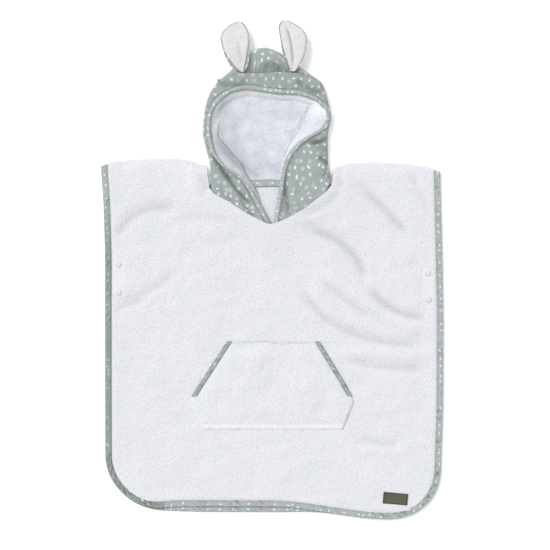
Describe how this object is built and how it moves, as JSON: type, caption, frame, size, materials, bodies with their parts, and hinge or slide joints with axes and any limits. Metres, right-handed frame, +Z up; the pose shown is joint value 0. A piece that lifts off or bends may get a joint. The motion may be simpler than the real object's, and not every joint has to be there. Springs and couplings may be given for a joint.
{
  "type": "hooded bath poncho",
  "caption": "Child's hooded terry bath poncho laid flat, with a lined hood with two ears, bound edges, a front pocket and side snaps.",
  "frame": {"origin": "centre of the garment's box on the surface it lies on", "axes": "+Z up from the surface, +Y from the hem to the hood, +X to the wearer's left arm"},
  "size_m": [0.5999, 0.873, 0.0199],
  "materials": {
    "white_terry": "matte looped terry",
    "sage_print_cotton": "matte printed cotton",
    "sage_bias_strip": "matte cotton strip",
    "off_white_plastic": "satin",
    "dark_woven_label": "woven satin"
  },
  "bodies": {
    "root": {"front_panel": "white_terry", "back_panel": "white_terry", "front_binding": "sage_bias_strip", "back_binding": "sage_bias_strip", "pocket": "white_terry", "pocket_binding_left": "sage_bias_strip", "pocket_binding_right": "sage_bias_strip", "hood_band_outer": "sage_print_cotton", "hood_band_lining": "white_terry", "hood_back_outer": "sage_print_cotton", "hood_back_lining": "white_terry", "face_binding": "sage_bias_strip", "neck_tape": "sage_bias_strip", "ear_right_outer": "sage_print_cotton", "ear_right_inner": "white_terry", "ear_left_outer": "sage_print_cotton", "ear_left_inner": "white_terry", "snap_right_upper_front": "off_white_plastic", "snap_right_lower_front": "off_white_plastic", "snap_left_upper_front": "off_white_plastic", "snap_left_lower_front": "off_white_plastic", "snap_right_upper_back": "off_white_plastic", "snap_right_lower_back": "off_white_plastic", "snap_left_upper_back": "off_white_plastic", "snap_left_lower_back": "off_white_plastic", "label": "dark_woven_label"}
  },
  "joints": []
}
